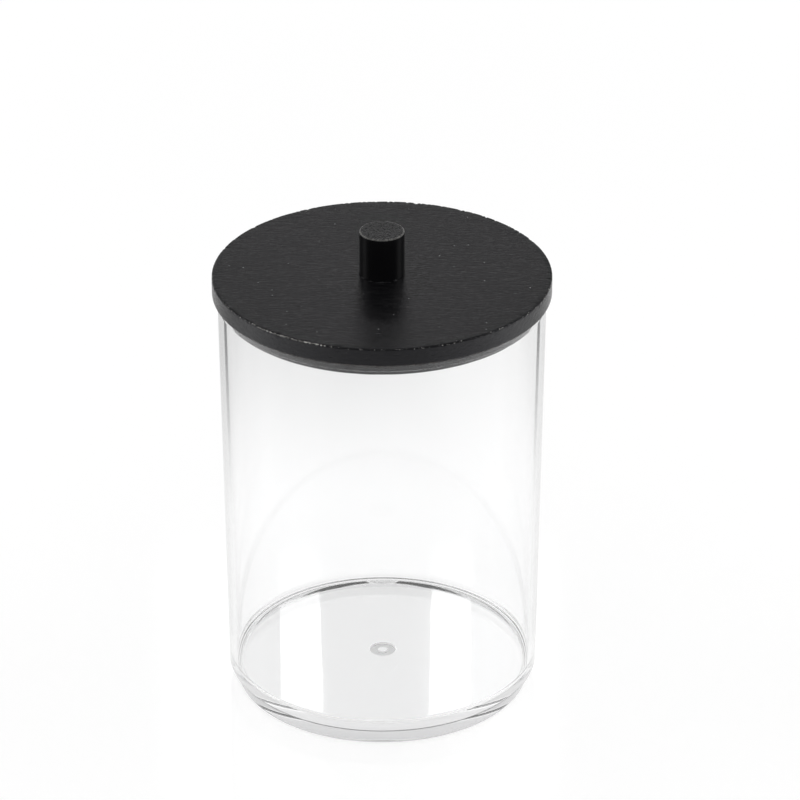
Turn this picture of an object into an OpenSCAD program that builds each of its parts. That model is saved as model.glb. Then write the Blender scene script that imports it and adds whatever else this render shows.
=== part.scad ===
// Clear round jar with a black painted wooden lid, for cotton pads on a bathroom shelf.
// Millimetres, +Z up. The origin is the centre of the flat face that the jar stands on.
// The jar is one moulded revolve. The lid is a disc with a smaller plug disc glued beneath it,
// and a dowel knob glued into the disc's hole.

/* [Jar] */
// Height of the jar, from the face it stands on to the top of its lip
jar_h = 90; // [60:1:140]
// Outer diameter of the wall at its lower edge, where the wall is narrowest
wall_low_d = 65.4; // [58:0.1:72]
// Outer diameter of the wall at its top, wider so that the part leaves its mould
wall_top_d = 67.8; // [60:0.1:76]
// Thickness of the wall
wall_t = 1.5; // [1:0.1:2.5]
// How far the lip stands out from the wall
lip_out = 0.3; // [0.1:0.05:0.8]
// Height of the lip
lip_h = 1.6; // [1.2:0.1:4]
// Radius of the lip's outer edges
lip_edge_r = 0.45; // [0.1:0.05:0.6]
// Radius of the lip's inner edge
mouth_edge_r = 0.35; // [0.1:0.05:0.6]

/* [Base] */
// Height of the foot, from the table to the wall's lower edge
foot_h = 3.7; // [2:0.1:8]
// How far the foot's side is set in from the wall's lower edge
foot_inset = 1.35; // [0.6:0.05:4]
// How far the foot's side tapers in on its way down
foot_taper = 0.4; // [0:0.05:1.5]
// Radius of the foot's lower edge
foot_edge_r = 0.5; // [0.1:0.05:1]
// Radius of the wall's lower edge
wall_edge_r = 0.4; // [0.1:0.05:0.8]
// Thickness of the solid base, from the table to the floor inside
base_t = 4.9; // [3:0.1:12]
// Radius of the fillet between floor and wall
floor_fillet_r = 1.6; // [0.3:0.1:3]

/* [Gate mark] */
// Diameter of the shallow dimple in the middle of the floor
dimple_d = 5.4; // [3:0.1:12]
// Depth of the dimple
dimple_deep = 0.35; // [0.1:0.05:1]
// Diameter of the nub left in the dimple
nub_d = 2.1; // [1:0.1:2.8]
// Height of the nub above the dimple's floor
nub_h = 0.3; // [0.1:0.05:1]
// Radius of the dimple's and the nub's edges
mark_edge_r = 0.15; // [0.05:0.01:0.2]

/* [Lid] */
// Diameter of the lid's disc
disc_d = 70; // [69:0.5:90]
// Thickness of the lid's disc
disc_t = 4; // [2:0.5:10]
// Radius of the sanded edges of the wooden pieces
sanded_r = 0.35; // [0.1:0.05:0.6]
// Gap between the plug and the jar's mouth, on each side
plug_gap = 0.6; // [0.2:0.05:2]
// Thickness of the plug disc, which reaches into the mouth
plug_t = 3.1; // [2:0.1:12]

/* [Knob] */
// Diameter of the dowel
knob_d = 9.3; // [6:0.1:25]
// Height of the knob above the disc
knob_h = 9.6; // [5:0.1:40]
// Gap filled by glue around the dowel, on each side
glue_gap = 0.05; // [0.02:0.01:0.15]

/* [Hidden] */

// Facets of every turned form, and segments of every rounded corner
turn_fn = 180;
corner_steps = 8;

// Share of a neighbouring edge that one corner's radius may use up
corner_share = 0.49;

// Radii of the jar's walls. The inside follows the outside's slope, one wall thickness in.
wall_low_r = wall_low_d / 2;
wall_top_r = wall_top_d / 2;
wall_slope = (wall_top_r - wall_low_r) / (jar_h - foot_h);
function outer_r(z) = wall_low_r + wall_slope * (z - foot_h);
function inner_r(z) = outer_r(z) - wall_t;
mouth_r = inner_r(jar_h);

// Radii of the foot, at its root below the wall and at the table
foot_root_r = wall_low_r - foot_inset;
foot_low_r = foot_root_r - foot_taper;

// The plug is set from the mouth that it drops into, where the mouth is narrowest around it
plug_r = inner_r(jar_h - plug_t) - plug_gap;
socket_r = knob_d / 2 + glue_gap;

// Unit vector along v
function unit(v) = v / norm(v);

// Turn from angle a to angle b by the shorter way
function turn(a, b) = let (d = b - a) d > 180 ? d - 360 : d < -180 ? d + 360 : d;

// Points of the arc of radius r that rounds corner b between its neighbours a and c.
// The radius is cut down where the neighbouring edges are too short for it.
function round_corner(a, b, c, r) =
    let (
        u = unit(a - b),
        v = unit(c - b),
        half = acos(u * v) / 2,
        reach = corner_share * min(norm(a - b), norm(c - b)),
        arc_r = min(r, reach * tan(half)),
        centre = b + unit(u + v) * arc_r / sin(half),
        from = b + u * arc_r / tan(half) - centre,
        to = b + v * arc_r / tan(half) - centre,
        start = atan2(from[1], from[0]),
        sweep = turn(start, atan2(to[1], to[0]))
    )
    [for (i = [0 : corner_steps])
        let (angle = start + sweep * i / corner_steps)
        centre + arc_r * [cos(angle), sin(angle)]];

// Outline from corners written as [radius from the axis, height, corner radius].
// A corner whose own radius is 0 stays sharp.
function rounded_outline(corners) =
    let (n = len(corners))
    [for (i = [0 : n - 1])
        let (
            before = corners[(i + n - 1) % n],
            here = corners[i],
            after = corners[(i + 1) % n]
        )
        each here[2] == 0
            ? [[here[0], here[1]]]
            : round_corner([before[0], before[1]], [here[0], here[1]], [after[0], after[1]], here[2])];

// Solid turned from an outline about the Z axis
module turned(corners) {
    rotate_extrude($fn = turn_fn)
        polygon(rounded_outline(corners));
}

// Jar in one piece: solid stepped base, tapering wall, lip and the gate mark on its floor
module jar_body() {
    dimple_z = base_t - dimple_deep;
    color([0.90, 0.93, 0.94, 0.35])
        turned([
            [0, 0, 0],
            [foot_low_r, 0, foot_edge_r],
            [foot_root_r, foot_h, wall_edge_r],
            [wall_low_r, foot_h, wall_edge_r],
            [outer_r(jar_h - lip_h), jar_h - lip_h, lip_edge_r],
            [wall_top_r + lip_out, jar_h - lip_h + lip_out, lip_edge_r],
            [wall_top_r + lip_out, jar_h, lip_edge_r],
            [mouth_r, jar_h, mouth_edge_r],
            [inner_r(base_t), base_t, floor_fillet_r],
            [dimple_d / 2, base_t, mark_edge_r],
            [dimple_d / 2, dimple_z, mark_edge_r],
            [nub_d / 2, dimple_z, mark_edge_r],
            [nub_d / 2, dimple_z + nub_h, mark_edge_r],
            [0, dimple_z + nub_h, 0]
        ]);
}

// Lid's disc: it rests on the lip and has the dowel's hole through its middle
module lid_disc() {
    color([0.07, 0.07, 0.075])
        turned([
            [socket_r, jar_h, 0],
            [disc_d / 2, jar_h, sanded_r],
            [disc_d / 2, jar_h + disc_t, sanded_r],
            [socket_r, jar_h + disc_t, 0]
        ]);
}

// Plug: the smaller disc beneath, which centres the lid in the mouth
module lid_plug() {
    color([0.05, 0.05, 0.055])
        turned([
            [0, jar_h - plug_t, 0],
            [plug_r, jar_h - plug_t, sanded_r],
            [plug_r, jar_h, 0],
            [0, jar_h, 0]
        ]);
}

// Knob: a plain dowel that goes through the disc and stands on the plug
module knob() {
    color([0.04, 0.04, 0.045])
        turned([
            [0, jar_h, 0],
            [knob_d / 2, jar_h, 0],
            [knob_d / 2, jar_h + disc_t + knob_h, sanded_r],
            [0, jar_h + disc_t + knob_h, 0]
        ]);
}

jar_body();
lid_disc();
lid_plug();
knob();
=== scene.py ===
"""Clear moulded jar with a black painted wooden lid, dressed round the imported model.

Everything is in metres, +Z up, with the origin under the middle of the jar's foot.
Sizes in the tables and patterns below are in millimetres, times MM where they become places.
"""
import math

import bmesh
import bpy
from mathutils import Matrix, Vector, noise


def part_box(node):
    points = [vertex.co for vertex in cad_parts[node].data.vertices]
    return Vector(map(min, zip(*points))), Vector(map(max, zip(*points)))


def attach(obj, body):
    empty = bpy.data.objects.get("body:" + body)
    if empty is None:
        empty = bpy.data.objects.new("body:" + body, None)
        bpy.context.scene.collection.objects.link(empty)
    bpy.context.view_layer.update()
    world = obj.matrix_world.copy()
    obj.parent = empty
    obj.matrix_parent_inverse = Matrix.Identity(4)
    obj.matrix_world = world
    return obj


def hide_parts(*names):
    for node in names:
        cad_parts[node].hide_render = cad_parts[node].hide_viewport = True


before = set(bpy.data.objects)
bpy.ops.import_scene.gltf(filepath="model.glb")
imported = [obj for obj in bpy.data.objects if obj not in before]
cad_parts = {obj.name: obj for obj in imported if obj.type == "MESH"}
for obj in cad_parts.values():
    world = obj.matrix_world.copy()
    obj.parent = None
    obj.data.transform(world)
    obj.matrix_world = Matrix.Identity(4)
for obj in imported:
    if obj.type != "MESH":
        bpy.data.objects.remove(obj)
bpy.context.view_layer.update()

MM = 0.001


def box_mm(node):
    """Largest radius, lowest height and highest height of a round node."""
    low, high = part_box(node)
    return high.y / MM, low.z / MM, high.z / MM


LIP_RADIUS, _, JAR_HEIGHT = box_mm("jar_body")
DISC_RADIUS, DISC_LOW, DISC_TOP = box_mm("lid_disc")
PLUG_RADIUS, PLUG_LOW, PLUG_TOP = box_mm("lid_plug")
KNOB_RADIUS, KNOB_LOW, KNOB_TOP = box_mm("knob")

# The jar's other sizes, as the CAD model has them
WALL = 1.5
LIP_OUT = 0.3
LIP_HEIGHT = 1.6
LIP_EDGE = 0.45
MOUTH_EDGE = 0.35
WALL_LOW_RADIUS = 32.7
WALL_EDGE = 0.4
WALL_SLOPE = 0.0139
LIP_CORNER = 0.1
FOOT_HEIGHT = 3.7
FOOT_ROOT_RADIUS = 31.35
FOOT_LOW_RADIUS = 30.95
FOOT_EDGE = 0.5
BASE = 4.9
FLOOR_FILLET = 1.6
DIMPLE_RADIUS = 2.7
DIMPLE_DEPTH = 0.35
NUB_RADIUS = 1.05
NUB_HEIGHT = 0.3
MARK_EDGE = 0.15
NUB_EDGE = 0.12

# The lid's other sizes
DOWEL_HOLE_RADIUS = 4.7
SANDED_EDGE = 0.35
KNOB_EDGE = 0.28
WORN_RIM = 1.4
LOW_WEAR = 0.9
TOP_WEAR = 1.1
BEAD_INSIDE = 0.1
BEAD_OUT = 0.40
BEAD_HEIGHT = 0.30

# How finely turned pieces are cut: steps round the whole turn, segments in a rounded corner,
# slices that a turn is repeated from, the place of a supporting vertex, and the merging reach
FINE_STEPS = 1440
WIDE_STEPS = 512
SMALL_STEPS = 256
ROUND_SEGMENTS = 6
SLICES = 16
SUPPORT = 0.12
MERGE_REACH = 0.002


# Turned shapes

def outline(bm, corners):
    """An open outline through corners, each (radius, height, rounding) in mm, with them rounded."""
    places = [Vector((radius, 0, height)) * MM for radius, height, _ in corners]
    reaches = [0.0] * len(corners)
    for i in range(1, len(corners) - 1):
        opening = (places[i - 1] - places[i]).angle(places[i + 1] - places[i])
        reaches[i] = corners[i][2] * MM / math.tan(opening / 2)
    verts = [bm.verts.new(places[0])]
    to_round = []
    for i in range(1, len(corners)):
        # A vertex just past each rounding keeps the straight stretches flat
        along = places[i] - places[i - 1]
        start = (reaches[i - 1] + SUPPORT * MM) / along.length
        end = 1 - (reaches[i] + SUPPORT * MM) / along.length
        if start < end:
            verts.append(bm.verts.new(places[i - 1] + along * start))
            verts.append(bm.verts.new(places[i - 1] + along * end))
        verts.append(bm.verts.new(places[i]))
        if reaches[i]:
            to_round.append((verts[-1], reaches[i]))
    for a, b in zip(verts, verts[1:]):
        bm.edges.new((a, b))
    for vert, reach in to_round:
        bmesh.ops.bevel(
            bm,
            geom=[vert],
            offset=reach,
            offset_type="OFFSET",
            segments=ROUND_SEGMENTS,
            profile=0.5,
            affect="VERTICES",
            material=-1,
        )


def turned(corners, steps):
    """A bmesh of a closed solid turned about Z, whose outline ends on the axis or meets itself.

    One slice is spun first and then repeated, because a long spin slows down as it grows.
    """
    bm = bmesh.new()
    outline(bm, corners)
    slice_angle = 2 * math.pi / SLICES
    spin = {"cent": (0, 0, 0), "axis": (0, 0, 1), "dvec": (0, 0, 0)}
    bmesh.ops.spin(
        bm,
        geom=bm.verts[:] + bm.edges[:],
        angle=slice_angle,
        steps=steps // SLICES,
        **spin,
    )
    bmesh.ops.spin(
        bm,
        geom=bm.verts[:] + bm.edges[:] + bm.faces[:],
        angle=slice_angle * (SLICES - 1),
        steps=SLICES - 1,
        use_duplicate=True,
        **spin,
    )
    bmesh.ops.remove_doubles(bm, verts=bm.verts, dist=MERGE_REACH * MM)
    bmesh.ops.recalc_face_normals(bm, faces=bm.faces)
    return bm


def make_piece(name, bm, material, body, node=None):
    """Turns a finished bmesh into a piece that rides on a body and may stand for a CAD node."""
    for face in bm.faces:
        face.smooth = True
    mesh = bpy.data.meshes.new(name)
    bm.to_mesh(mesh)
    bm.free()
    mesh.materials.append(material)
    piece = bpy.data.objects.new(name, mesh)
    bpy.context.scene.collection.objects.link(piece)
    if node:
        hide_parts(node)
    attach(piece, body)
    return piece


def ripple(place, size, seed):
    """Smooth noise from -1 to 1 at a place in metres, with features about size mm across."""
    return noise.noise(place / (size * MM) + Vector((seed, 2 * seed, 3 * seed)))


def wear_edge(bm, radius, height, reach, seed, nick_depth, dip_depth):
    """Eats nicks and soft dips into the round edge at a radius and height, all in mm.

    Nothing moves outwards.
    """
    middle = (DISC_LOW + DISC_TOP) / 2
    for vert in bm.verts:
        around = math.hypot(vert.co.x, vert.co.y)
        apart = math.hypot(around - radius * MM, vert.co.z - height * MM)
        weight = max(0.0, 1 - apart / (reach * MM))
        if weight == 0:
            continue
        on_edge = Vector((vert.co.x, vert.co.y, 0)) * (radius * MM / around)
        nick = max(0.0, ripple(on_edge, 0.62, seed) - 0.18) / 0.5
        grouped = 0.35 + 0.65 * max(0.0, min(1.0, 0.5 + 1.4 * ripple(on_edge, 9, seed + 5)))
        dip = max(0.0, ripple(on_edge, 3.2, seed + 9))
        amount = (nick_depth * nick * grouped + dip_depth * dip) * weight * MM
        inward = -Vector((vert.co.x, vert.co.y, 0)).normalized()
        downward = Vector((0, 0, middle - height)).normalized()
        vert.co += (inward + downward) * amount * 0.7


# Shader maths

class Value:
    """A number that flows through a material. Sums with it add Math nodes."""

    def __init__(self, finish, socket):
        self.finish = finish
        self.socket = socket

    def math(self, operation, *others):
        inputs = dict(enumerate((self, *others)))
        return self.finish.node("ShaderNodeMath", {"operation": operation}, inputs)

    def __add__(self, other):
        return self.math("ADD", other)

    def __sub__(self, other):
        return self.math("SUBTRACT", other)

    def __mul__(self, other):
        return self.math("MULTIPLY", other)

    __radd__ = __add__
    __rmul__ = __mul__

    def __rsub__(self, other):
        return self.math("MULTIPLY_ADD", -1.0, other)

    def rise(self, low, high):
        """0 below low and 1 above high, with a smooth step between them, or the other way round."""
        if low > high:
            return 1 - self.rise(high, low)
        return self.finish.node(
            "ShaderNodeMapRange",
            {"interpolation_type": "SMOOTHSTEP"},
            {"Value": self, "From Min": low, "From Max": high},
        )


class Finish:
    """A material, or a world, whose nodes all come from one method."""

    def __init__(self, owner):
        owner.use_nodes = True
        self.owner = owner
        self.tree = owner.node_tree

    def node(self, kind, settings=None, inputs=None, output=0):
        """Adds a node, sets its settings, fills its sockets, and returns one output."""
        node = self.tree.nodes.new(kind)
        for key, value in (settings or {}).items():
            setattr(node, key, value)
        for key, value in (inputs or {}).items():
            self.fill(node.inputs[key], value)
        return Value(self, node.outputs[output])

    def fill(self, socket, value):
        if isinstance(value, Value):
            self.tree.links.new(value.socket, socket)
        else:
            socket.default_value = value

    def surface(self, **inputs):
        """Fills sockets of the material's own Principled shader, with _ for spaces."""
        shader = self.tree.nodes["Principled BSDF"]
        for key, value in inputs.items():
            self.fill(shader.inputs[key.replace("_", " ")], value)
        return Value(self, shader.outputs[0])

    def light_path(self, kind):
        """1 for rays of a kind, such as Is Camera Ray."""
        return self.node("ShaderNodeLightPath", output=kind)

    def ray_kinds(self):
        """1 for rays off a glossy surface, and 1 for rays that came through clear plastic.

        Rays through plastic count as glossy too, so those are taken out of the first.
        """
        through = self.light_path("Is Transmission Ray")
        return self.light_path("Is Glossy Ray") * (1 - through), through

    def place(self, scale=(1, 1, 1), centre=(0, 0, 0)):
        """The point on the piece in mm, from centre, times a scale."""
        point = self.node("ShaderNodeTexCoord", output="Object")
        return self.node(
            "ShaderNodeMapping",
            {"vector_type": "POINT"},
            {
                "Vector": point,
                "Location": [-c * s for c, s in zip(centre, scale)],
                "Scale": [s / MM for s in scale],
            },
        )

    def axes(self):
        """x, y and z in mm."""
        point = self.place()
        return [self.node("ShaderNodeSeparateXYZ", None, {0: point}, axis) for axis in "XYZ"]

    def grain(self, scale, detail=2.0, roughness=0.5, warp=0.0):
        """Noise from 0 to 1, with scale features a mm along each axis."""
        return self.node(
            "ShaderNodeTexNoise",
            None,
            {
                "Vector": self.place(scale),
                "Scale": 1.0,
                "Detail": detail,
                "Roughness": roughness,
                "Distortion": warp,
            },
        )

    def specks(self, apart, size, share, stretch=1.0, shift=0.0):
        """Small dots seen from above, about apart mm from each other, on a share of their places.

        They are stretched along X, and shift moves the whole pattern.
        """
        flat = {"voronoi_dimensions": "2D"}
        scale = [1 / apart / stretch, 1 / apart, 1]
        cells = {"Vector": self.place(scale, [shift] * 3), "Scale": 1.0}
        distance = self.node("ShaderNodeTexVoronoi", flat, cells, "Distance")
        chance = self.node("ShaderNodeTexVoronoi", flat, cells, "Color")
        lot = self.node("ShaderNodeSeparateColor", None, {0: chance}, "Red")
        chosen = lot.rise(1 - share, 1.001 - share)
        faint = self.node("ShaderNodeSeparateColor", None, {0: chance}, "Green") * 0.85 + 0.15
        uneven = self.grain((4, 4, 4)) * 1.4 + 0.3
        return (distance * uneven).rise(size / apart, 0.5 * size / apart) * chosen * faint

    def blend(self, amount, colour_a, colour_b):
        """A colour between two others."""
        return self.node(
            "ShaderNodeMix",
            {"data_type": "RGBA"},
            {"Factor": amount, 6: colour_a, 7: colour_b},
            2,
        )

    def bump(self, height, depth):
        """A normal from heights of 0 to 1, depth mm apart."""
        return self.node(
            "ShaderNodeBump", None, {"Height": height, "Strength": 1.0, "Distance": depth * MM}
        )


CLEAR = (0.968, 0.969, 0.970, 1)
PAINTED_OUTLINE_SHADE = (0.40, 0.40, 0.405, 1)
PAINTED_DARK_LINE = (0.01, 0.01, 0.0105, 1)
PAINTED_EDGE_SHADE = (0.02, 0.02, 0.0205, 1)
PAINTED_FOOT_SHADE = (0.70, 0.70, 0.705, 1)
GATE_GREY = (0.42, 0.42, 0.42, 1)
LIP_LIGHT_GREY = (0.95, 0.95, 0.955, 1)
PLASTIC_IOR = 1.49


def clear_plastic():
    """Polished clear plastic, which lets the lamps' light through to what it holds.

    Its outline is painted grey, with a painted dark line just inside it, and its foot and lower edges
    carry painted shade, as a thick clear wall looks edge on.
    """
    finish = Finish(bpy.data.materials.new("clear_plastic"))
    x, y, z = finish.axes()
    shrink = finish.grain((0.035, 0.035, 0.012), 1.0, 0.5)
    around = (x * x + y * y).math("SQRT")
    gate = around.rise(DIMPLE_RADIUS, DIMPLE_RADIUS - 0.1) * around.rise(NUB_RADIUS, NUB_RADIUS + 0.1)
    gate = gate * z.rise(BASE - 0.6, BASE - 0.5)
    cloudy = finish.grain((0.3, 0.3, 0.3), 3.0)
    lip = z.rise(JAR_HEIGHT - 2.0, JAR_HEIGHT - 1.7)
    glancing = finish.node("ShaderNodeLayerWeight", None, {"Blend": 0.5}, "Facing")
    outside = (around - WALL_SLOPE * z).rise(WALL_LOW_RADIUS - 0.6, WALL_LOW_RADIUS - 0.4)
    # Painted shade: the outer face turns grey where it is seen edge on, from about 10 mm up
    edge = glancing.rise(0.62, 1.0) * z.rise(6, 14) * outside
    tint = finish.blend(edge, CLEAR, PAINTED_OUTLINE_SHADE)
    # Painted shade: a thin dark line just inside the outline, on the upper half of the wall
    painted_line_mask = glancing.rise(0.712, 0.728) * glancing.rise(0.778, 0.760) * z.rise(45, 88) * outside
    tint = finish.blend(painted_line_mask, tint, PAINTED_DARK_LINE)
    # Painted shade: the foot's outer side is tinted grey
    foot = around.rise(FOOT_LOW_RADIUS - 0.6, FOOT_LOW_RADIUS - 0.4) * z.rise(
        FOOT_HEIGHT - 0.2, FOOT_HEIGHT - 0.4
    )
    tint = finish.blend(foot, tint, PAINTED_FOOT_SHADE)
    # Painted shade: dark lines at the rounded edge above the foot and, fainter, at the foot's bottom
    # edge, where they are hit from outside
    wall_edge = around.rise(WALL_LOW_RADIUS - 0.35, WALL_LOW_RADIUS - 0.3) * z.rise(
        FOOT_HEIGHT + 0.42, FOOT_HEIGHT + 0.3
    )
    foot_edge = around.rise(FOOT_LOW_RADIUS - 0.35, FOOT_LOW_RADIUS - 0.25) * z.rise(0.35, 0.2)
    from_inside = finish.node("ShaderNodeNewGeometry", output="Backfacing")
    edges = (wall_edge + 0.7 * foot_edge) * (1 - from_inside)
    tint = finish.blend(edges, tint, PAINTED_EDGE_SHADE)
    shader = finish.surface(
        Base_Color=finish.blend(gate, tint, GATE_GREY),
        Roughness=0.008 + 0.012 * cloudy + 0.3 * gate + 0.02 * lip,
        IOR=PLASTIC_IOR,
        Transmission_Weight=1.0,
        Normal=finish.bump(shrink, 0.02),
    )
    # The wall guides light up to the lip's top face, where it comes out as an even grey; a matte grey
    # mixed in there stands in for that light as painted light
    lip_top = z.rise(JAR_HEIGHT - 0.16, JAR_HEIGHT - 0.05)
    lip_light_stand_in = finish.node("ShaderNodeBsdfDiffuse", None, {"Color": LIP_LIGHT_GREY})
    shader = finish.node("ShaderNodeMixShader", None, {0: 0.75 * lip_top, 1: shader, 2: lip_light_stand_in})
    see_through = finish.node("ShaderNodeBsdfTransparent", None, {"Color": (1, 1, 1, 1)})
    mix = finish.node(
        "ShaderNodeMixShader",
        None,
        {0: finish.light_path("Is Shadow Ray"), 1: shader, 2: see_through},
    )
    finish.fill(finish.tree.nodes["Material Output"].inputs["Surface"], mix)
    return finish.owner


PAINT_BLACK = (0.003, 0.003, 0.0036, 1)
PAINT_THIN = (0.009, 0.009, 0.0096, 1)
PAINT_WORN = (0.055, 0.055, 0.057, 1)
PRIMER = (0.13, 0.12, 0.11, 1)
# Pale bare wood where the disc's paint is chipped; also the colour of the knob's painted rim
# highlight
BARE_WOOD_AND_HIGHLIGHT = (0.60, 0.59, 0.56, 1)
DUST_WHITE = (0.42, 0.42, 0.42, 1)


def painted_wood(name, top=None):
    """Satin black paint on sanded wood, with the grain along X.

    A piece with a top, the disc, also has dust, scratches, and chips along its edge.
    """
    finish = Finish(bpy.data.materials.new(name))
    x, y, z = finish.axes()
    streaks = finish.grain((0.16, 1.5, 1.5), 4.0, 0.6, 0.5)
    pores = finish.grain((0.45, 3.2, 3.2), 2.0, 0.5, 0.2).rise(0.60, 0.72)
    tooth = finish.grain((4.0, 4.0, 4.0), 2.5, 0.65)
    peel = finish.grain((0.8, 1.7, 1.7), 2.0, 0.5, 0.3)
    cloudy = finish.grain((0.06, 0.10, 0.10), 2.0)
    colour = finish.blend(streaks.rise(0.45, 0.75), PAINT_BLACK, PAINT_THIN)
    height = streaks * 0.4 + peel * 0.7 - pores * 0.5 + tooth * 0.5
    if top:
        on_top = z.rise(top - 0.08, top - 0.02)
        dust = finish.specks(3.1, 0.13, 0.08, 1.0, 5.7) * on_top
        scratches = finish.specks(5.3, 0.11, 0.10, 7.0, 2.3) * on_top
        colour = finish.blend(dust * 0.8 + scratches * 0.3, colour, DUST_WHITE)
        height = height - scratches * 1.2 + dust * 0.8
        around = (x * x + y * y).math("SQRT")
        at_edge = around.rise(DISC_RADIUS - 0.26, DISC_RADIUS - 0.16)
        at_edge = at_edge * z.rise(top - 0.34, top - 0.20)
        flakes = finish.grain((2.4, 2.4, 3.2), 3.0, 0.75)
        # The edge turns pale more often along a stretch at the front left
        front_left_stretch = x.rise(-29, -24) * x.rise(-8, -13) * y.rise(5, 0)
        chips = at_edge * (flakes + 0.10 * front_left_stretch).rise(0.60, 0.66)
        colour = finish.blend(chips, colour, BARE_WOOD_AND_HIGHLIGHT)
        low_edge = around.rise(DISC_RADIUS - 0.3, DISC_RADIUS - 0.2)
        low_edge = low_edge * z.rise(DISC_LOW + 0.5, DISC_LOW + 0.36)
        colour = finish.blend(low_edge * flakes.rise(0.46, 0.60), colour, PRIMER)
    finish.surface(
        Base_Color=colour,
        Roughness=0.12 + 0.08 * cloudy + 0.10 * streaks,
        Specular_IOR_Level=0.27,
        Specular_Tint=(0.95, 0.95, 1.0, 1),
        Normal=finish.bump(height, 0.10),
    )
    return finish.owner


def painted_dowel():
    """Smoother black paint on a beech dowel: fine lines up its side and stippled end grain."""
    finish = Finish(bpy.data.materials.new("painted_dowel"))
    x, y, z = finish.axes()
    lines = finish.grain((3.0, 3.0, 0.08), 3.0, 0.6)
    stipple = finish.grain((2.0, 2.0, 0.5), 1.5, 0.6).rise(0.42, 0.60)
    on_top = z.rise(KNOB_TOP - 0.12, KNOB_TOP - 0.04)
    # Painted highlight: a thin pale line round the knob's rounded top rim
    painted_rim_highlight = (x * x + y * y).math("SQRT").rise(KNOB_RADIUS - 0.32, KNOB_RADIUS - 0.24) * z.rise(
        KNOB_TOP - 0.26, KNOB_TOP - 0.18
    )
    height = lines * 0.6 * (1 - on_top) + stipple * on_top * 5.5
    colour = finish.blend(on_top * stipple * 0.55, PAINT_BLACK, PAINT_WORN)
    finish.surface(
        Base_Color=finish.blend(painted_rim_highlight * (0.13 + 0.15 * stipple), colour, BARE_WOOD_AND_HIGHLIGHT),
        Roughness=0.20 + 0.22 * on_top * stipple,
        Specular_IOR_Level=0.27,
        Normal=finish.bump(height, 0.03),
    )
    return finish.owner


# Pieces

def wall_radius(height):
    """Outer radius of the tapering wall at a height."""
    return WALL_LOW_RADIUS + WALL_SLOPE * (height - FOOT_HEIGHT)


def make_jar():
    dimple = BASE - DIMPLE_DEPTH
    lip_low = JAR_HEIGHT - LIP_HEIGHT
    corners = [
        (0, 0, 0),
        (FOOT_LOW_RADIUS, 0, FOOT_EDGE),
        (FOOT_ROOT_RADIUS, FOOT_HEIGHT, WALL_EDGE),
        (WALL_LOW_RADIUS, FOOT_HEIGHT, WALL_EDGE),
        (wall_radius(lip_low), lip_low, LIP_CORNER),
        (LIP_RADIUS, lip_low + LIP_OUT, LIP_CORNER),
        (LIP_RADIUS, JAR_HEIGHT, LIP_EDGE),
        (LIP_RADIUS - LIP_OUT - WALL, JAR_HEIGHT, MOUTH_EDGE),
        (wall_radius(BASE) - WALL, BASE, FLOOR_FILLET),
        (DIMPLE_RADIUS, BASE, MARK_EDGE),
        (DIMPLE_RADIUS, dimple, MARK_EDGE),
        (NUB_RADIUS, dimple, NUB_EDGE),
        (NUB_RADIUS, dimple + NUB_HEIGHT, NUB_EDGE),
        (0, dimple + NUB_HEIGHT, 0),
    ]
    bm = turned(corners, WIDE_STEPS)
    return make_piece("jar", bm, clear_plastic(), "jar", "jar_body")


def make_lid_disc():
    bottom_edge = (DISC_RADIUS, DISC_LOW, SANDED_EDGE)
    top_edge = (DISC_RADIUS, DISC_TOP, SANDED_EDGE)
    corners = [
        (DOWEL_HOLE_RADIUS, DISC_TOP, 0),
        (DOWEL_HOLE_RADIUS, DISC_LOW, 0),
        (DISC_RADIUS - WORN_RIM, DISC_LOW, 0),
        bottom_edge,
        (DISC_RADIUS, DISC_LOW + LOW_WEAR, 0),
        (DISC_RADIUS, DISC_TOP - TOP_WEAR, 0),
        top_edge,
        (DISC_RADIUS - WORN_RIM, DISC_TOP, 0),
        (DOWEL_HOLE_RADIUS, DISC_TOP, 0),
    ]
    bm = turned(corners, FINE_STEPS)
    wear_edge(bm, DISC_RADIUS, DISC_TOP, 0.9, 3.1, 0.34, 0.08)
    wear_edge(bm, DISC_RADIUS, DISC_LOW, 0.7, 8.7, 0.08, 0.08)
    paint = painted_wood("painted_disc", DISC_TOP)
    return make_piece("lid_top_disc", bm, paint, "lid", "lid_disc")


def make_plug():
    corners = [
        (0, PLUG_LOW, 0),
        (PLUG_RADIUS - WORN_RIM, PLUG_LOW, 0),
        (PLUG_RADIUS, PLUG_LOW, SANDED_EDGE),
        (PLUG_RADIUS, PLUG_TOP, SANDED_EDGE),
        (0, PLUG_TOP, 0),
    ]
    bm = turned(corners, WIDE_STEPS)
    wear_edge(bm, PLUG_RADIUS, PLUG_LOW, 0.6, 5.3, 0.06, 0.08)
    return make_piece("lid_plug_disc", bm, painted_wood("painted_plug"), "lid", "lid_plug")


def make_knob():
    corners = [
        (0, KNOB_LOW, 0),
        (KNOB_RADIUS, KNOB_LOW, SANDED_EDGE),
        (KNOB_RADIUS, KNOB_TOP, KNOB_EDGE),
        (0, KNOB_TOP, 0),
    ]
    bm = turned(corners, SMALL_STEPS)
    return make_piece("lid_knob", bm, painted_dowel(), "lid", "knob")


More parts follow.
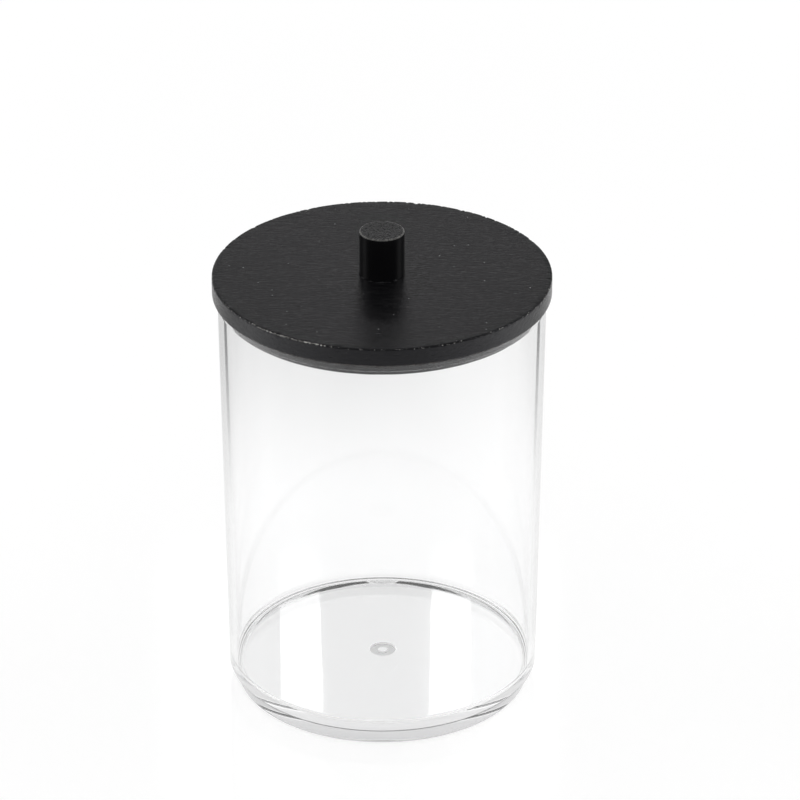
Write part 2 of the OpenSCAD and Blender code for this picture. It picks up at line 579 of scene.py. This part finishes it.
def make_glue_bead():
    """Paint and glue that ran out round the dowel's foot, wider in some places than in others."""
    inside = KNOB_RADIUS - BEAD_INSIDE
    low = DISC_TOP - BEAD_INSIDE
    high = DISC_TOP + BEAD_HEIGHT
    corners = [
        (inside, low, 0),
        (KNOB_RADIUS + BEAD_OUT, low, 0.10),
        (KNOB_RADIUS + 0.05, high, 0.07),
        (inside, high, 0),
        (inside, low, 0),
    ]
    bm = turned(corners, SMALL_STEPS)
    for vert in bm.verts:
        around = Vector((vert.co.x, vert.co.y, 0))
        swell = 0.35 + 0.6 * ripple(around, 1.6, 4.4) + 0.6 * ripple(around, 0.5, 6.1)
        swell = max(0.1, min(1.0, swell))
        out = around.length - inside * MM
        up = vert.co.z - low * MM
        vert.co -= around.normalized() * out * (1 - swell)
        vert.co.z -= up * (1 - swell) * 0.8
    return make_piece("glue_bead", bm, painted_wood("painted_bead"), "lid")


make_jar()
make_lid_disc()
make_plug()
make_knob()
make_glue_bead()


# Studio

CAMERA_BACK = 867
CAMERA_UP = 514
CAMERA_SIDE = 3.7
CAMERA_TILT = 27.4
CAMERA_LENS = 211.0


def make_camera():
    data = bpy.data.cameras.new("camera")
    data.sensor_width = 36
    data.lens = CAMERA_LENS
    data.clip_start = 0.01
    data.clip_end = 20
    camera = bpy.data.objects.new("camera", data)
    camera.location = Vector((CAMERA_SIDE, -CAMERA_BACK, CAMERA_UP)) * MM
    camera.rotation_euler = (math.radians(90 - CAMERA_TILT), 0, 0)
    bpy.context.scene.collection.objects.link(camera)
    bpy.context.scene.camera = camera


def make_lamp(name, place, size, strength, through_plastic=True):
    """A soft rectangular lamp that faces the jar, as bright as strength times white."""
    data = bpy.data.lights.new(name, "AREA")
    data.shape = "RECTANGLE"
    data.size, data.size_y = [side * MM for side in size]
    data.energy = strength * math.pi * data.size * data.size_y
    lamp = bpy.data.objects.new(name, data)
    lamp.location = Vector(place) * MM
    aim = Vector((0, 0, JAR_HEIGHT / 2)) * MM - lamp.location
    lamp.rotation_euler = aim.to_track_quat("-Z", "Y").to_euler()
    lamp.visible_camera = False
    lamp.visible_transmission = through_plastic
    bpy.context.scene.collection.objects.link(lamp)


FLOOR_GAP = 0.05
FLOOR_GREY = (0.42, 0.42, 0.42, 1)
FAR_FLOOR_PAINTED_SHADE = (0.10, 0.10, 0.10, 1)
LIGHT_BOUNCES = 72


def make_floor():
    """A pale floor with the object's shadow. From below it is clear, so that the underside shows.

    It is white where it is seen. Mirrored or seen through the plastic, it has painted bands, light
    and shade.
    """
    bpy.ops.mesh.primitive_plane_add(size=8, location=(0, 0, -FLOOR_GAP * MM))
    floor = bpy.context.object
    floor.name = "floor"
    finish = Finish(bpy.data.materials.new("pale_floor"))
    x, y, _ = finish.axes()
    around = (x * x + y * y).math("SQRT")
    mirrored, through = finish.ray_kinds()
    across = x.math("ABSOLUTE")
    # Painted light and shade near the jar in the floor's glow: brighter round it and under its right
    # side, a little darker under the rest
    under = around.rise(42, 30)
    near_painted_light_and_shade = under * (-0.05 + 0.23 * x.rise(4, 24)) + (1 - under) * (0.12 - 0.08 * across.rise(18, 45))
    # Painted shade: the glow falls off from 70 to 180 mm out, more on the left; in reflections the
    # front is left out
    painted_falloff_shade = (0.43 - 0.18 * x.rise(-5, 30)) * around.rise(70, 180)
    painted_falloff_shade = painted_falloff_shade * (1 - mirrored * y.rise(30, -30))
    far = around.rise(250, 600)
    # Painted light in reflections: bright bands to the left and right of the jar, with a little
    # painted shade in front
    painted_side_bands = across.rise(70, 170) * y.rise(90, 30) * around.rise(420, 300)
    painted_side_bands = (painted_side_bands - 0.12 * y.rise(-60, -90)) * mirrored
    # Far out, from 250 to 600 mm: painted light for rays seen straight or through the plastic,
    # painted shade in reflections
    far_painted_light_and_shade = (0.45 + 0.15 * through - 0.8 * mirrored) * far
    shown = finish.light_path("Is Camera Ray") + mirrored + through
    # Painted shade: far from the jar the floor's own colour turns dark
    top_side = finish.surface(
        Base_Color=finish.blend(far, FLOOR_GREY, FAR_FLOOR_PAINTED_SHADE),
        Roughness=0.06,
        Specular_IOR_Level=0.15,
        Emission_Color=shown * (1 + far_painted_light_and_shade + (mirrored + through) * (near_painted_light_and_shade - painted_falloff_shade + painted_side_bands)),
        Emission_Strength=0.64,
    )
    from_below = finish.node("ShaderNodeNewGeometry", output="Backfacing")
    clear = finish.node("ShaderNodeBsdfTransparent")
    mix = finish.node("ShaderNodeMixShader", None, {0: from_below, 1: top_side, 2: clear})
    finish.fill(finish.tree.nodes["Material Output"].inputs["Surface"], mix)
    floor.data.materials.append(finish.owner)


def make_world():
    """White where it is seen, and greyer above where it is mirrored, as in a small studio."""
    finish = Finish(bpy.data.worlds.new("studio"))
    direction = finish.node("ShaderNodeTexCoord", output="Generated")
    up = finish.node("ShaderNodeSeparateXYZ", None, {0: direction}, "Z")
    camera = finish.light_path("Is Camera Ray")
    mirrored, through = finish.ray_kinds()
    above = mirrored * (0.30 + 0.55 * up.rise(0.12, 0.45) - 0.65 * up.rise(0.85, 0.98))
    above = above + through * (0.05 + 0.22 * up.rise(0.1, 0.5))
    lighting = (1 - camera) * (1 - mirrored) * (1 - through)
    background = finish.tree.nodes["Background"]
    finish.fill(background.inputs["Color"], 1 - above - 0.3 * lighting)
    bpy.context.scene.world = finish.owner


make_camera()
make_floor()
make_world()
make_lamp("left_softbox", (-750, 100, 420), (380, 720), 2.0, False)
make_lamp("right_softbox", (750, 100, 420), (380, 720), 2.0, False)
make_lamp("left_strip", (-95, 1400, 842), (60, 140), 2.8)
make_lamp("right_strip", (63, 1400, 842), (48, 146), 2.8)

scene = bpy.context.scene
scene.view_settings.view_transform = "Standard"
# Light runs a long way up inside the clear wall before it comes out
scene.cycles.max_bounces = LIGHT_BOUNCES
scene.cycles.glossy_bounces = LIGHT_BOUNCES
scene.cycles.transmission_bounces = LIGHT_BOUNCES
